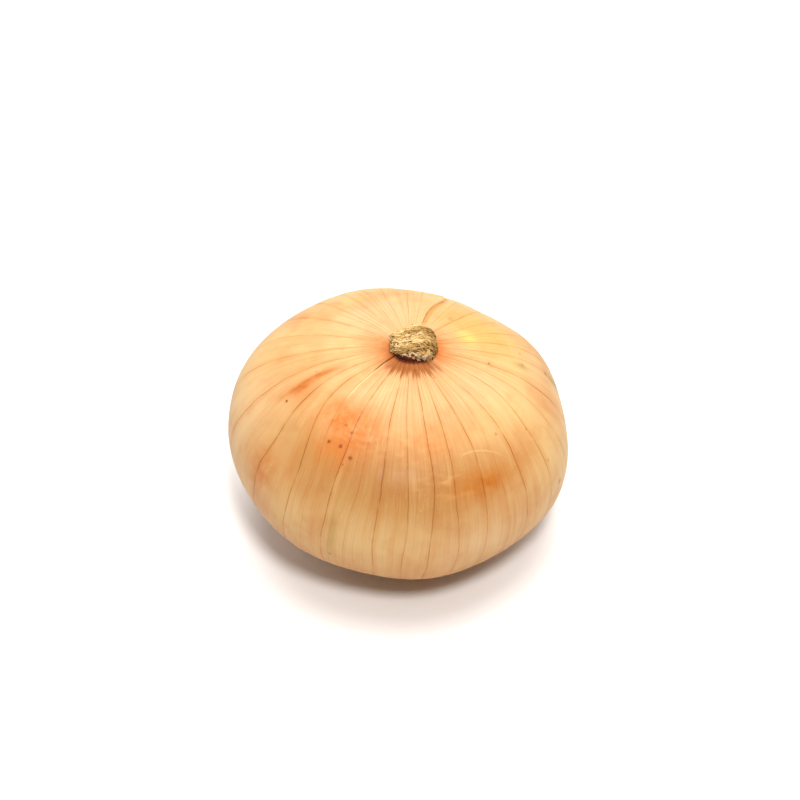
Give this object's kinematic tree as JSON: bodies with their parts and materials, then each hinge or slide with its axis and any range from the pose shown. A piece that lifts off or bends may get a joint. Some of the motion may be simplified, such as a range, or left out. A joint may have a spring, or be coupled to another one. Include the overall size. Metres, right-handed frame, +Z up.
{
  "type": "onion",
  "caption": "Whole squat brown-skinned onion with a dry trimmed neck and root plate, standing on its root end.",
  "frame": {"origin": "on the resting surface, under the middle of the bulb's bounding box", "axes": "+Z up from the root end to the neck, -Y the front, +X the side that the neck leans to"},
  "size_m": [0.09, 0.091, 0.0664],
  "materials": {
    "skin": "thin dry golden-brown papery skin, satin, with fine red-brown veins from neck to root",
    "neck": "dull dried tan fibres with dark gaps between them",
    "roots": "dull dry corky root plate with brittle root stubs"
  },
  "bodies": {
    "root": {"onion": "skin"}
  },
  "joints": []
}
